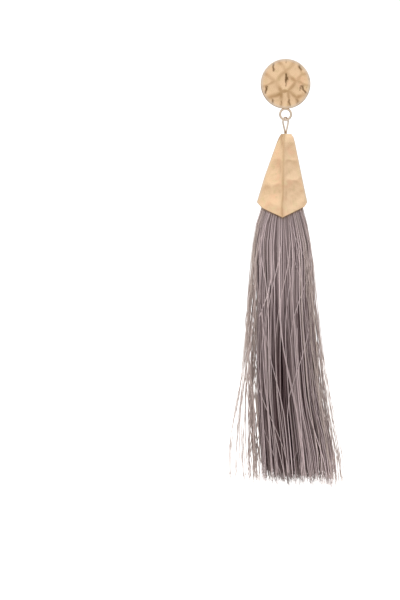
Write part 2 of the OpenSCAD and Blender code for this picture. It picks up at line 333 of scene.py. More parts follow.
@dataclass(frozen=True)
class SatinGold:
    """Pale satin gold plating, rubbed down to darker brass along ridges, with painted dark reflections along
    the ridges and in the hammer marks, and painted sheen at edges.
    """

    name: str
    colour: Colour = (0.93, 0.655, 0.41)
    blush: Colour = (0.945, 0.605, 0.38)
    straw: Colour = (0.93, 0.70, 0.42)
    tarnish: Colour = (0.52, 0.30, 0.15)
    # Colour along the ridges and the cap's arris: brass where the plating is rubbed down, and a painted dark
    # reflection.
    brass: Colour = (0.50, 0.30, 0.14)
    # Colour of the painted dark reflections in the hammer marks and of the painted shade where the wire's legs
    # meet.
    umber: Colour = (0.23, 0.13, 0.055)
    # Greyer tint of the painted sheen at edges, on the ring and wire, and on the cap's right faces.
    pale: Colour = (0.76, 0.635, 0.51)
    roughness: float = 0.16
    clouding: float = 0.06
    cloud_scale: float = 330.0
    fleck_scale: float = 759.0
    grain_scale: float = 5200.0
    grain_height: float = 0.0000035
    blush_span: Span = (0.48, 0.75)
    straw_span: Span = (0.52, 0.70)
    tarnish_span: Span = (0.45, 0.75)
    tarnish_share: float = 0.30
    worn_share: float = 0.85
    hollow_rough: float = 0.02
    worn_rough: float = 0.08

    def build(self) -> bpy.types.Material:
        """Makes the material.

        It reads the attributes hollow, which is 1 deep in a hammer mark, worn, which is 1 where the
        plating has rubbed down to darker brass and a dark reflection is painted on it, stain, which is high
        in a painted dark reflection in a hammer mark and in painted shade where the wire's legs meet, and pale,
        which is 1 on bright wire and marks a painted sheen there, at edges and on the cap's right faces.

        Returns:
            The material.
        """
        material, board = new_material(self.name)
        place = board.add("TexCoord", output="Object")
        cloud = board.noise(place, self.cloud_scale, 1.5)
        fleck = board.noise(place, self.fleck_scale, 2.0)
        grain = board.noise(place, self.grain_scale, 3.0, 0.65)
        hollow, worn, stain, pale = map(board.attribute, ("hollow", "worn", "stain", "pale"))
        colour = board.coats(
            self.colour,
            (cloud.step(*self.blush_span), self.blush),
            (fleck.step(*self.straw_span), self.straw),
            (hollow * fleck.step(*self.tarnish_span) * self.tarnish_share, self.tarnish),
            # rubbed brass along ridges and the arris, with a painted dark reflection there
            (worn * (0.55 + cloud * 0.9) * self.worn_share, self.brass),
            # painted dark reflections in the hammer marks, and painted shade where the wire's legs meet
            (stain * (0.65 + fleck * 0.7), self.umber),
            # painted sheen
            (pale, self.pale),
        )
        rough = self.roughness + (cloud - 0.5) * (2 * self.clouding)
        rough = rough + hollow * self.hollow_rough + worn * self.worn_rough
        bump = board.add("Bump", None, {"Height": grain, "Distance": self.grain_height, "Strength": 1.0})
        finish_surface(board, {"Base Color": colour, "Metallic": 1.0, "Roughness": rough, "Normal": bump})
        return material


@dataclass(frozen=True)
class SilkThread:
    """Silky twisted thread that varies a little from one thread to the next, with painted shade and painted
    light on it.
    """

    name: str
    deep: Colour = (0.049, 0.018, 0.021)
    light: Colour = (0.78, 0.64, 0.645)
    lightest: float = 1.6
    beige: Colour = (0.60, 0.50, 0.45)
    # Colour of the painted shadow under the cap's lower edge.
    umber: Colour = (0.26, 0.165, 0.09)
    shadow_span: Span = (-0.9, 0.2)
    shadow_share: float = 0.9
    roughness: float = 0.42
    slub_scale: float = 300.0
    slub_share: float = 0.25
    twist_length: float = 0.55
    twist_share: float = 0.22
    twist_height: float = 0.00002

    def build(self, tip: tuple[float, float], slope: float) -> bpy.types.Material:
        """Makes the material. It reads the attributes shade, each thread's own tone with painted shade and
        painted light, and warmth, and a UV map along the thread.

        Args:
            tip: Place of the cap's point along X and Z, in millimetres.
            slope: How steeply the cap's lower edge climbs from its point.

        Returns:
            The material, with a painted shadow where the threads come out from under the cap.
        """
        material, board = new_material(self.name)
        across, along, _ = board.split(board.add("TexCoord", output="UV"))
        twist = (across * (2 * math.tau) + along * (math.tau / self.twist_length)).wave()
        place = board.add("TexCoord", output="Object")
        slub = board.noise(place, self.slub_scale, 2.0)
        x, _, z = board.split(place)
        inside = z - tip[1] * MM - abs(x - tip[0] * MM) * slope
        shadow = inside.step(self.shadow_span[0] * MM, self.shadow_span[1] * MM)
        colour = board.coats(
            self.deep,
            # shade: each thread's own tone, with painted shade and painted light
            (board.attribute("shade") * (1 / self.lightest), self.light),
            (board.attribute("warmth"), self.beige),
            (twist.step(0.2, -0.9) * self.twist_share, self.deep),
            (shadow * self.shadow_share, self.umber),
        )
        bump = board.add("Bump", None, {"Height": twist, "Distance": self.twist_height, "Strength": 0.6})
        finish_surface(
            board,
            {
                "Base Color": colour,
                "Roughness": self.roughness + (slub - 0.5) * self.slub_share,
                "Specular IOR Level": 0.45,
                "Sheen Weight": 0.15,
                "Sheen Roughness": 0.4,
                "Normal": bump,
            },
        )
        return material


@dataclass(frozen=True)
class StudioPaper:
    """Plain white paper that reads as pure white."""

    name: str = "studio_paper"
    colour: Colour = (0.92, 0.92, 0.92)
    glow: float = 0.85

    def build(self) -> bpy.types.Material:
        """Makes the material.

        Returns:
            The material.
        """
        material, board = new_material(self.name)
        light = {"Emission Color": (1.0, 1.0, 1.0), "Emission Strength": self.glow}
        finish_surface(board, {"Base Color": self.colour, "Roughness": 0.9, **light})
        return material


def named_mesh(name: str, bm: bmesh.types.BMesh) -> bpy.types.Mesh:
    """Makes a mesh of a bmesh, which it frees.

    Args:
        name: Name of the mesh.
        bm: The bmesh.

    Returns:
        The mesh.
    """
    mesh = bpy.data.meshes.new(name)
    bm.to_mesh(mesh)
    bm.free()
    return mesh


def in_scene(data: bpy.types.ID) -> bpy.types.Object:
    """Puts a mesh or a camera in the scene.

    Args:
        data: The mesh or the camera's data.

    Returns:
        The object, which has its name.
    """
    placed = bpy.data.objects.new(data.name, data)
    bpy.context.scene.collection.objects.link(placed)
    return placed


def modify(piece: bpy.types.Object, name: str, kind: str, **settings: object) -> None:
    """Adds a modifier.

    Args:
        piece: The object that gets it.
        name: Name of the modifier.
        kind: Its type.
        settings: Its properties.
    """
    modifier = piece.modifiers.new(name, kind)
    for setting, value in settings.items():
        setattr(modifier, setting, value)


def read_points(mesh: bpy.types.Mesh) -> Array:
    """Reads the coordinates of a mesh's vertices.

    Args:
        mesh: The mesh.

    Returns:
        The coordinates, in rows of three.
    """
    flat = np.empty(len(mesh.vertices) * 3)
    mesh.vertices.foreach_get("co", flat)
    return flat.reshape(-1, 3)


def write_points(mesh: bpy.types.Mesh, points: Array) -> None:
    """Moves a mesh's vertices to places in millimetres."""
    mesh.vertices.foreach_set("co", (points * MM).ravel())
    mesh.update()


def write_attributes(mesh: bpy.types.Mesh, **attributes: Array) -> None:
    """Stores numbers at each vertex of a mesh.

    Args:
        mesh: The mesh.
        attributes: The numbers, under the attributes' names.
    """
    for name, values in attributes.items():
        layer = mesh.attributes.new(name, "FLOAT", "POINT")
        layer.data.foreach_set("value", values.astype(np.float32))


def row_numbers(base: Array, levels: int) -> Array:
    """Number of the row, from the lower end, of each vertex of a straight tube."""
    return np.rint(base[:, 2] * levels).astype(int)


def tube_stock(name: str, sides: int, levels: int, open_ends: bool = False) -> bpy.types.Mesh:
    """Makes a straight tube of radius 1 and height 1, from which long and hollow pieces are shaped.

    Args:
        name: Name of the mesh.
        sides: Number of its sides.
        levels: Number of rows of faces along it.
        open_ends: Whether the faces at its two ends are left out.

    Returns:
        The mesh, with a UV map that runs round and along it.
    """
    bm = bmesh.new()
    bmesh.ops.create_circle(bm, cap_ends=True, segments=sides, radius=1.0)
    edges = list(bm.edges)
    for _ in range(levels):
        made = bmesh.ops.extrude_edge_only(bm, edges=edges)["geom"]
        ring = {g for g in made if isinstance(g, bmesh.types.BMVert)}
        bmesh.ops.translate(bm, verts=list(ring), vec=(0.0, 0.0, 1.0 / levels))
        edges = [g for g in made if isinstance(g, bmesh.types.BMEdge) and ring.issuperset(g.verts)]
    bmesh.ops.edgeloop_fill(bm, edges=edges)
    bmesh.ops.recalc_face_normals(bm, faces=bm.faces)
    if open_ends:
        ends = [f for f in bm.faces if abs(f.normal.z) > 0.5]
        bmesh.ops.delete(bm, geom=ends, context="FACES_ONLY")
    layer = bm.loops.layers.uv.new("thread")
    for face in bm.faces:
        around = [math.atan2(v.co.y, v.co.x) / math.tau % 1.0 for v in face.verts]
        crosses = max(around) - min(around) > 0.5
        for loop, turn in zip(face.loops, around):
            loop[layer].uv = (turn + float(crosses and turn < 0.5), loop.vert.co.z)
    return named_mesh(name, bm)


def bend_tubes(
    name: str, stock: bpy.types.Mesh, paths: Array, radii: Array, across: tuple[float, float, float]
) -> bpy.types.Mesh:
    """Joins copies of a straight tube, each bent along a path of its own.

    Args:
        name: Name of the mesh.
        stock: The straight tube.
        paths: Places of each path in millimetres, as many as the tube has rings.
        radii: Radius at each place of each path.
        across: A direction that no path runs along, which keeps the tubes from twisting.

    Returns:
        The mesh, with lengths in its UV map in millimetres.
    """
    count, rings = radii.shape
    bm = bmesh.new()
    for _ in range(count):
        bm.from_mesh(stock)
    mesh = named_mesh(name, bm)
    base = read_points(stock)
    level = row_numbers(base, rings - 1)
    tangent = unit(np.gradient(paths, axis=1))
    aside = np.array(across, dtype=float)
    normal = unit(aside - (tangent @ aside)[..., None] * tangent)
    other = np.cross(tangent, normal)
    spread = base[None, :, 0:1] * normal[:, level] + base[None, :, 1:2] * other[:, level]
    points = paths[:, level] + radii[:, level, None] * spread
    write_points(mesh, points.reshape(-1, 3))
    lengths = np.linalg.norm(np.diff(paths, axis=1), axis=2).sum(axis=1)
    layer = mesh.uv_layers[0]
    flat = np.empty(len(mesh.loops) * 2)
    layer.data.foreach_get("uv", flat)
    uv = flat.reshape(count, -1, 2)
    uv[:, :, 1] *= lengths[:, None]
    layer.data.foreach_set("uv", uv.ravel())
    return mesh


def place_piece(
    mesh: bpy.types.Mesh, body: Body, material: bpy.types.Material, crease: float = 40.0
) -> bpy.types.Object:
    """Puts a finished mesh in the scene as a piece on a body.

    Args:
        mesh: The mesh, in place.
        body: The body that it rides on.
        material: Its material.
        crease: Angle in degrees from which an edge stays sharp.

    Returns:
        The object.
    """
    piece = in_scene(mesh)
    mesh.materials.clear()
    mesh.materials.append(material)
    mesh.shade_smooth()
    mesh.set_sharp_from_angle(angle=math.radians(crease))
    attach(piece, body.value)
    LOG.info("%s: %d vertices, %d faces", piece.name, len(mesh.vertices), len(mesh.polygons))
    return piece


def turned(profile: Points, steps: int) -> bmesh.types.BMesh:
    """Spins a profile about the Y axis.

    Args:
        profile: Points as radius and place along Y, from the axis back to the axis or closed.
        steps: Number of steps round the axis.

    Returns:
        The closed shape, with its normals outwards.
    """
    bm = bmesh.new()
    verts = [bm.verts.new((r, y, 0.0)) for r, y in profile]
    edges = [bm.edges.new(pair) for pair in zip(verts, verts[1:])]
    bmesh.ops.spin(
        bm, geom=verts + edges, cent=(0, 0, 0), axis=(0, 1, 0), angle=math.tau, steps=steps, use_merge=True
    )
    bmesh.ops.remove_doubles(bm, verts=bm.verts, dist=1e-5)
    bmesh.ops.recalc_face_normals(bm, faces=bm.faces)
    return bm


def joined_solid(name: str, parts: Sequence[bmesh.types.BMesh]) -> bpy.types.Mesh:
    """Unites closed shapes, given in millimetres, into one solid in metres.

    Args:
        name: Name of the mesh.
        parts: The shapes, which it frees.

    Returns:
        The mesh.
    """
    objects = [in_scene(named_mesh(f"{name}_part_{number}", bm)) for number, bm in enumerate(parts)]
    for other in objects[1:]:
        modify(objects[0], other.name, "BOOLEAN", operation="UNION", solver="MANIFOLD", object=other)
    graph = bpy.context.evaluated_depsgraph_get()
    mesh = bpy.data.meshes.new_from_object(objects[0].evaluated_get(graph), depsgraph=graph)
    mesh.name = name
    for old in [part.data for part in objects]:
        bpy.data.meshes.remove(old)
    write_points(mesh, read_points(mesh))
    return mesh


@dataclass(frozen=True)
class DiscDent:
    """A hammer mark in the disc, in shares of the disc's radius and of the deepest mark."""

    across: float
    up: float
    radius: float
    depth: float


@dataclass(frozen=True)
class DarkReflection:
    """A painted dark reflection in a hammer mark, in shares of the disc's radius across and up from its middle.
    """

    start: tuple[float, float]
    end: tuple[float, float]
    width: float
    strength: float


@dataclass(frozen=True)
class HammeredFront:
    """What the hammer and wear have done at places on the disc's front, which are in millimetres."""

    points: Array
    radius: float
    dent_depth: float = 0.36
    ridge: float = 0.075
    warp: float = 0.26
    squeezed: float = -0.10
    uneven: float = 0.012
    # Rubbed brass along the ridges, with a painted dark reflection there, most below the middle.
    worn_line: float = 0.90
    worn_share: float = 0.54
    worn_low: float = -0.322
    worn_low_reach: tuple[float, float] = (0.46, 0.28)
    worn_low_share: float = 0.62
    worn_patches: float = 0.20
    worn_edge: Span = (0.96, 1.0)
    # How the painted dark reflections in the hammer marks wobble, fray and fade.
    stain_wobble: float = 0.03
    stain_edge: float = 1.15
    stain_ragged: float = 0.45
    stain_widest: float = 0.4
    stain_taper: float = 1.2
    stain_soft: float = 1.5
    dents: tuple[DiscDent, ...] = (
        DiscDent(0.00, 0.09, 0.33, 1.00),
        DiscDent(-0.42, 0.52, 0.38, 0.95),
        DiscDent(0.03, 0.85, 0.28, 0.80),
        DiscDent(0.40, 0.48, 0.35, 0.92),
        DiscDent(0.76, 0.20, 0.30, 0.85),
        DiscDent(0.60, -0.23, 0.33, 0.92),
        DiscDent(0.27, -0.67, 0.24, 0.80),
        DiscDent(-0.03, -0.66, 0.24, 0.80),
        DiscDent(-0.40, -0.68, 0.26, 0.85),
        DiscDent(-0.60, -0.22, 0.31, 0.90),
        DiscDent(-0.76, 0.15, 0.27, 0.80),
        DiscDent(0.66, -0.64, 0.22, 0.70),
        DiscDent(0.72, 0.57, 0.22, 0.70),
    )
    # Dark reflections painted into the hammer marks.
    stains: tuple[DarkReflection, ...] = (
        DarkReflection((0.03, 0.36), (0.00, -0.10), 0.050, 1.0),
        DarkReflection((0.04, 0.24), (0.05, 0.10), 0.085, 1.0),
        DarkReflection((-0.50, 0.81), (-0.49, 0.50), 0.062, 0.95),
        DarkReflection((0.57, 0.74), (0.61, 0.53), 0.060, 0.9),
        DarkReflection((0.63, -0.14), (0.82, -0.37), 0.095, 1.0),
        DarkReflection((-0.76, -0.15), (-0.82, -0.36), 0.065, 1.0),
        DarkReflection((-0.53, -0.65), (-0.48, -0.82), 0.050, 0.9),
        DarkReflection((-0.18, -0.70), (-0.17, -0.84), 0.035, 0.6),
        DarkReflection((0.13, -0.66), (0.18, -0.87), 0.050, 0.8),
        DarkReflection((0.44, -0.64), (0.45, -0.80), 0.045, 0.4),
        DarkReflection((0.02, 0.93), (0.02, 0.85), 0.035, 0.5),
        DarkReflection((0.93, 0.29), (0.96, 0.14), 0.035, 0.6),
    )

    @property
    def out(self) -> Array:
        """Share of the way from the middle to the edge."""
        return np.hypot(self.points[:, 0], self.points[:, 2]) / self.radius

    @property
    def marks(self) -> HammerMarks:
        """The dents, a little out of round.

        Returns:
            The dents as they bear on each place.
        """
        across, up, radius, depth = np.array([[d.across, d.up, d.radius, d.depth] for d in self.dents]).T
        x = self.points[:, 0] + self.warp * ripple(self.points, wave=4.5, seed=11)
        z = self.points[:, 2] + self.warp * ripple(self.points, wave=4.5, seed=12)
        steps = np.stack([x[:, None] - across * self.radius, z[:, None] - up * self.radius], axis=2)
        return HammerMarks(steps, radius * self.radius, depth * self.dent_depth)

    def sunk(self) -> Array:
        """How far the front is hammered in."""
        uneven = self.uneven * ripple(self.points, wave=1.7, seed=13)
        return self.marks.sink(self.ridge, self.squeezed) + uneven

    def worn(self) -> Array:
        """How far the plating is rubbed down along the ridges, most below the middle, with a dark reflection
        painted there too.

        Returns:
            A share for each place.
        """
        x, z = self.points[:, 0] / self.radius, self.points[:, 2] / self.radius - self.worn_low
        low = np.hypot(x / self.worn_low_reach[0], z / self.worn_low_reach[1])
        share = self.worn_share + self.worn_low_share * np.exp(-(low**2))
        share += self.worn_patches * ripple(self.points, wave=2.5, seed=14)
        lines = np.clip(self.marks.ridges(self.worn_line) * share, 0.0, 1.0)
        return lines * (1.0 - smooth(self.out, *self.worn_edge))

    def stained(self) -> Array:
        """How dark the painted reflections in the hammer marks are.

        Returns:
            A share for each place.
        """
        wobble = np.stack([ripple(self.points, wave=1.5, seed=seed) for seed in (16, 17)], axis=1)
        place = self.points[:, [0, 2]] / self.radius + self.stain_wobble * wobble
        ragged = self.stain_edge + self.stain_ragged * ripple(self.points, wave=0.8, seed=15)
        total = np.zeros(len(place))
        for stain in self.stains:
            start, way = np.array(stain.start), np.subtract(stain.end, stain.start)
            along = np.clip((place - start) @ way / (way @ way), 0.0, 1.0)
            away = np.linalg.norm(place - start - along[:, None] * way, axis=1) / stain.width
            away *= ragged + self.stain_taper * (along - self.stain_widest) ** 2
            total = np.maximum(total, stain.strength * (1.0 - smooth(away, 0.0, self.stain_soft)))
        return total


@dataclass
class HammeredDisc:
    """The round ear disc with the ring soldered to its lower edge."""

    finish: SatinGold = SatinGold("hammered_gold")
    thickness: float = 1.6
    crown: float = 0.6
    edge_r: float = 0.3
    back_edge_r: float = 0.15
    ring_d: float = 3.5
    ring_wire: float = 0.56
    ring_sunk: float = 0.24
    ring_steps: int = 96
    solder: tuple[float, float, float] = (0.62, 0.40, 0.34)
    foot_d: float = 4.1
    foot_seat: float = 0.55
    seat_edge: float = 0.1
    rings: int = 64
    steps: int = 300
    hammered_span: Span = (0.45, 0.75)
    dressed_span: Span = (0.5, 0.8)
    # Painted sheen at the disc's rim and on the ring.
    painted_sheen_edge: float = 0.7
    painted_sheen_edge_span: Span = (0.86, 0.97)
    painted_sheen_ring: float = 0.2
    painted_sheen_ring_span: Span = (1.0, 1.05)
    radius: float = field(init=False)

    def __post_init__(self) -> None:
        """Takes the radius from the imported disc."""
        low, high = box_mm("stud_disc")
        self.radius = (high[0] - low[0]) / 2

    @property
    def ring_y(self) -> float:
        """Place of the ring's plane along Y."""
        return -self.thickness / 2

    @property
    def ring_r(self) -> float:
        """Radius of the middle of the ring's wire."""
        return (self.ring_d - self.ring_wire) / 2

    @property
    def ring_z(self) -> float:
        """Height of the ring's centre, which the drop swings about."""
        return -(self.radius - self.ring_sunk) - self.ring_d / 2

    def in_front(self, points: Array, span: Span) -> Array:
        """Where the front is.

        Args:
            points: Places in millimetres.
            span: Shares of the thickness between which the front begins.

        Returns:
            For each place 1 on the front, 0 behind it, and a share between them.
        """
        return smooth(-points[:, 1], self.thickness * span[0], self.thickness * span[1])

    def profile(self) -> Points:
        """Profile of the blank, from the middle of the front round to the middle of the back.

        Returns:
            Points as radius and place along Y.
        """
        inner = self.radius - self.edge_r
        crown_r = (self.radius**2 + self.crown**2) / (2 * self.crown)
        crown_y = crown_r - self.thickness - self.crown
        points = [(r, crown_y - math.sqrt(crown_r**2 - r * r)) for r in np.linspace(0.0, inner, self.rings)]
        points += arc((inner, points[-1][1] + self.edge_r), self.edge_r, -75, 0, 5)
        points += arc((self.radius - self.back_edge_r, -self.back_edge_r), self.back_edge_r, 0, 90, 4)
        seat, edge = self.foot_d / 2, self.seat_edge
        return points + [(seat + edge, 0.0), (seat, -edge), (seat, -self.foot_seat), (0.0, -self.foot_seat)]

    def blank(self) -> bmesh.types.BMesh:
        """Makes the turned disc with its front hammered.

        Returns:
            The shape, in millimetres.
        """
        bm = turned(self.profile(), self.steps)
        points = np.array([v.co for v in bm.verts])
        front = self.in_front(points, self.hammered_span)
        for vert, depth in zip(bm.verts, HammeredFront(points, self.radius).sunk() * front):
            vert.co.y += depth
        return bm

    def ring(self) -> bmesh.types.BMesh:
        """Makes the ring of wire.

        Returns:
            The shape, in millimetres.
        """
        bm = turned(arc((self.ring_r, 0.0), self.ring_wire / 2, 0, 360, 24), self.ring_steps)
        bmesh.ops.translate(bm, verts=bm.verts, vec=(0.0, self.ring_y, self.ring_z))
        return bm

    def solder_bead(self) -> bmesh.types.BMesh:
        """Makes the solder that fills the corner between the ring and the disc.

        Returns:
            The shape, in millimetres.
        """
        bm = bmesh.new()
        bmesh.ops.create_icosphere(bm, subdivisions=4, radius=1.0)
        bmesh.ops.scale(bm, verts=bm.verts, vec=self.solder)
        bmesh.ops.translate(bm, verts=bm.verts, vec=(0.0, self.ring_y, -self.radius))
        return bm

    def build(self) -> None:
        """Makes the piece."""
        mesh = joined_solid("hammered_disc", [self.blank(), self.ring(), self.solder_bead()])
        points = read_points(mesh) / MM
        face = HammeredFront(points, self.radius)
        front = self.in_front(points, self.dressed_span)
        painted_sheen_edge = self.painted_sheen_edge * smooth(face.out, *self.painted_sheen_edge_span)
        painted_sheen_ring = self.painted_sheen_ring * smooth(face.out, *self.painted_sheen_ring_span)
        write_attributes(
            mesh,
            hollow=np.clip(face.sunk() / face.dent_depth * front, 0.0, 1.0),
            # rubbed brass and painted dark reflection along the ridges
            worn=front * face.worn(),
            # painted dark reflections in the hammer marks
            stain=front * face.stained(),
            # painted sheen at the rim and on the ring
            pale=painted_sheen_edge + painted_sheen_ring,
        )
        piece = place_piece(mesh, Body.STUD, self.finish.build(), 38.0)
        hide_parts("stud_disc")


@dataclass
class EarPost:
    """The plain post behind the disc, turned in one piece with its foot."""

    finish: SatinGold = SatinGold("plain_gold_post")
    post_d: float = 0.8
    foot_t: float = 0.5
    foot_edge: float = 0.1
    fillet: float = 0.25
    steps: int = 48
    foot_r: float = field(init=False)
    length: float = field(init=False)

    def __post_init__(self) -> None:
        """Takes the foot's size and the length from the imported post."""
        low, high = box_mm("ear_post")
        self.foot_r = (high[0] - low[0]) / 2
        self.length = high[1]

    def profile(self) -> Points:
        """Profile from the middle of the foot's face to the round tip.

        Returns:
            Points as radius and place along Y.
        """
        r, edge, fillet = self.post_d / 2, self.foot_edge, self.fillet
        points = [(0.0, -self.foot_t), (self.foot_r, -self.foot_t), (self.foot_r, -edge)]
        points += [(self.foot_r - edge, 0.0), *arc((r + fillet, fillet), fillet, 270, 180, 6)]
        return points + arc((0.0, self.length - r), r, 0, 90, 8)

    def build(self) -> None:
        """Makes the piece."""
        mesh = named_mesh("turned_post", turned(self.profile(), self.steps))
        write_points(mesh, read_points(mesh))
        piece = place_piece(mesh, Body.STUD, self.finish.build())
        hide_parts("ear_post")


@dataclass
class WireEye:
    """One length of wire bent round the ring and closed below it, its two ends side by side in the cap."""

    finish: SatinGold = SatinGold("plain_gold_wire", colour=(0.84, 0.58, 0.37))
    width: float = 2.7
    leg_h: float = 2.85
    wire: float = 0.42
    turn: float = 50.0
    stem_l: float = 6.6
    plane_y: float = HANG_Y
    places: int = 150
    bow_steps: int = 39
    sides: int = 14
    ease: int = 5
    # Share of painted sheen on the wire, away from where the legs meet.
    brightness: float = 0.9
    # Reach and strength of the painted shade where the legs meet.
    closed_reach: float = 0.45
    closed_stain: float = 0.6
    top_z: float = field(init=False)

    def __post_init__(self) -> None:
        """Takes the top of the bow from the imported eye."""
        self.top_z = box_mm("eye_loop")[1][2]

    @property
    def bow_r(self) -> float:
        """Radius of the middle of the wire in the bow."""
        return (self.width - self.wire) / 2

    @property
    def bow_z(self) -> float:
        """Height of the middle of the bow."""
        return self.top_z - self.wire / 2 - self.bow_r

    @property
    def legs_z(self) -> float:
        """Height at which the legs meet."""
        return self.bow_z - self.leg_h

    def route(self) -> Array:
        """Places along the wire, up one leg, over the bow and down the other.

        Returns:
            The places at even steps, in rows of three.
        """
        half, end_z = self.wire / 2, self.legs_z - self.stem_l
        lean = math.degrees(math.asin((self.bow_r - half) / self.leg_h))
        bow = arc((0.0, self.bow_z), self.bow_r, 180 + lean, -lean, self.bow_steps)
        line = np.array([(-half, end_z), (-half, self.legs_z), *bow, (half, self.legs_z), (half, end_z)])
        length = np.r_[0.0, np.linalg.norm(np.diff(line, axis=0), axis=1).cumsum()]
        even = np.linspace(0.0, length[-1], self.places)
        kernel = np.ones(self.ease) / self.ease
        padded = [np.pad(np.interp(even, length, part), self.ease // 2, mode="edge") for part in line.T]
        aside, height = (np.convolve(part, kernel, mode="valid") for part in padded)
        turn = math.radians(self.turn)
        return np.stack([aside * math.cos(turn), self.plane_y + aside * math.sin(turn), height], axis=1)

    def build(self) -> None:
        """Makes the piece."""
        stock = tube_stock("wire_stock", self.sides, self.places - 1)
        turn = math.radians(self.turn)
        radii = np.full((1, self.places), self.wire / 2)
        mesh = bend_tubes("wire_eye", stock, self.route()[None], radii, (-math.sin(turn), math.cos(turn), 0.0))
        # Painted shade where the legs meet, and painted sheen along the rest of the wire.
        away = (read_points(mesh)[:, 2] / MM - self.legs_z) / self.closed_reach
        dark = np.exp(-(away**2))
        write_attributes(mesh, pale=self.brightness * (1.0 - dark), stain=self.closed_stain * dark)
        piece = place_piece(mesh, Body.DROP, self.finish.build())
        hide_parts("eye_loop")


@dataclass(frozen=True)
class CapSection:
    """Reaches of the cap at a place down its height, as shares of half its width or depth."""

    down: float
    left: float
    right: float
    depth: float


@dataclass(frozen=True)
class CapDent:
    """A hammer mark in a face of the cap's front. The back has them with left and right changed over."""

    side: Side
    across: float
    down: float
    radius: float
    depth: float


@dataclass(frozen=True)
class CapGrid:
    """Where each vertex of the cap's outside is.

    The side is -1 for the left faces and 1 for the right ones, and the front is 1 for the front faces and
    -1 for the back ones. The others are shares: across from the arris to the side corner, down the face,
    down the cap's height, and over the top from its edge to the hole. Reach and deep are half the cap's
    width and depth there, and round is its place in a unit circle.
    """

    side: Array
    front: Array
    across: Array
    along: Array
    down: Array
    over: Array
    reach: Array
    deep: Array
    round: Array

    @property
    def length(self) -> Array:
        """Length across the face at each place."""
        return np.hypot(self.reach, self.deep)

    @property
    def edge(self) -> Array:
        """Distance to the nearer of the arris and the side corner."""
        return np.minimum(self.across, 1.0 - self.across) * self.length


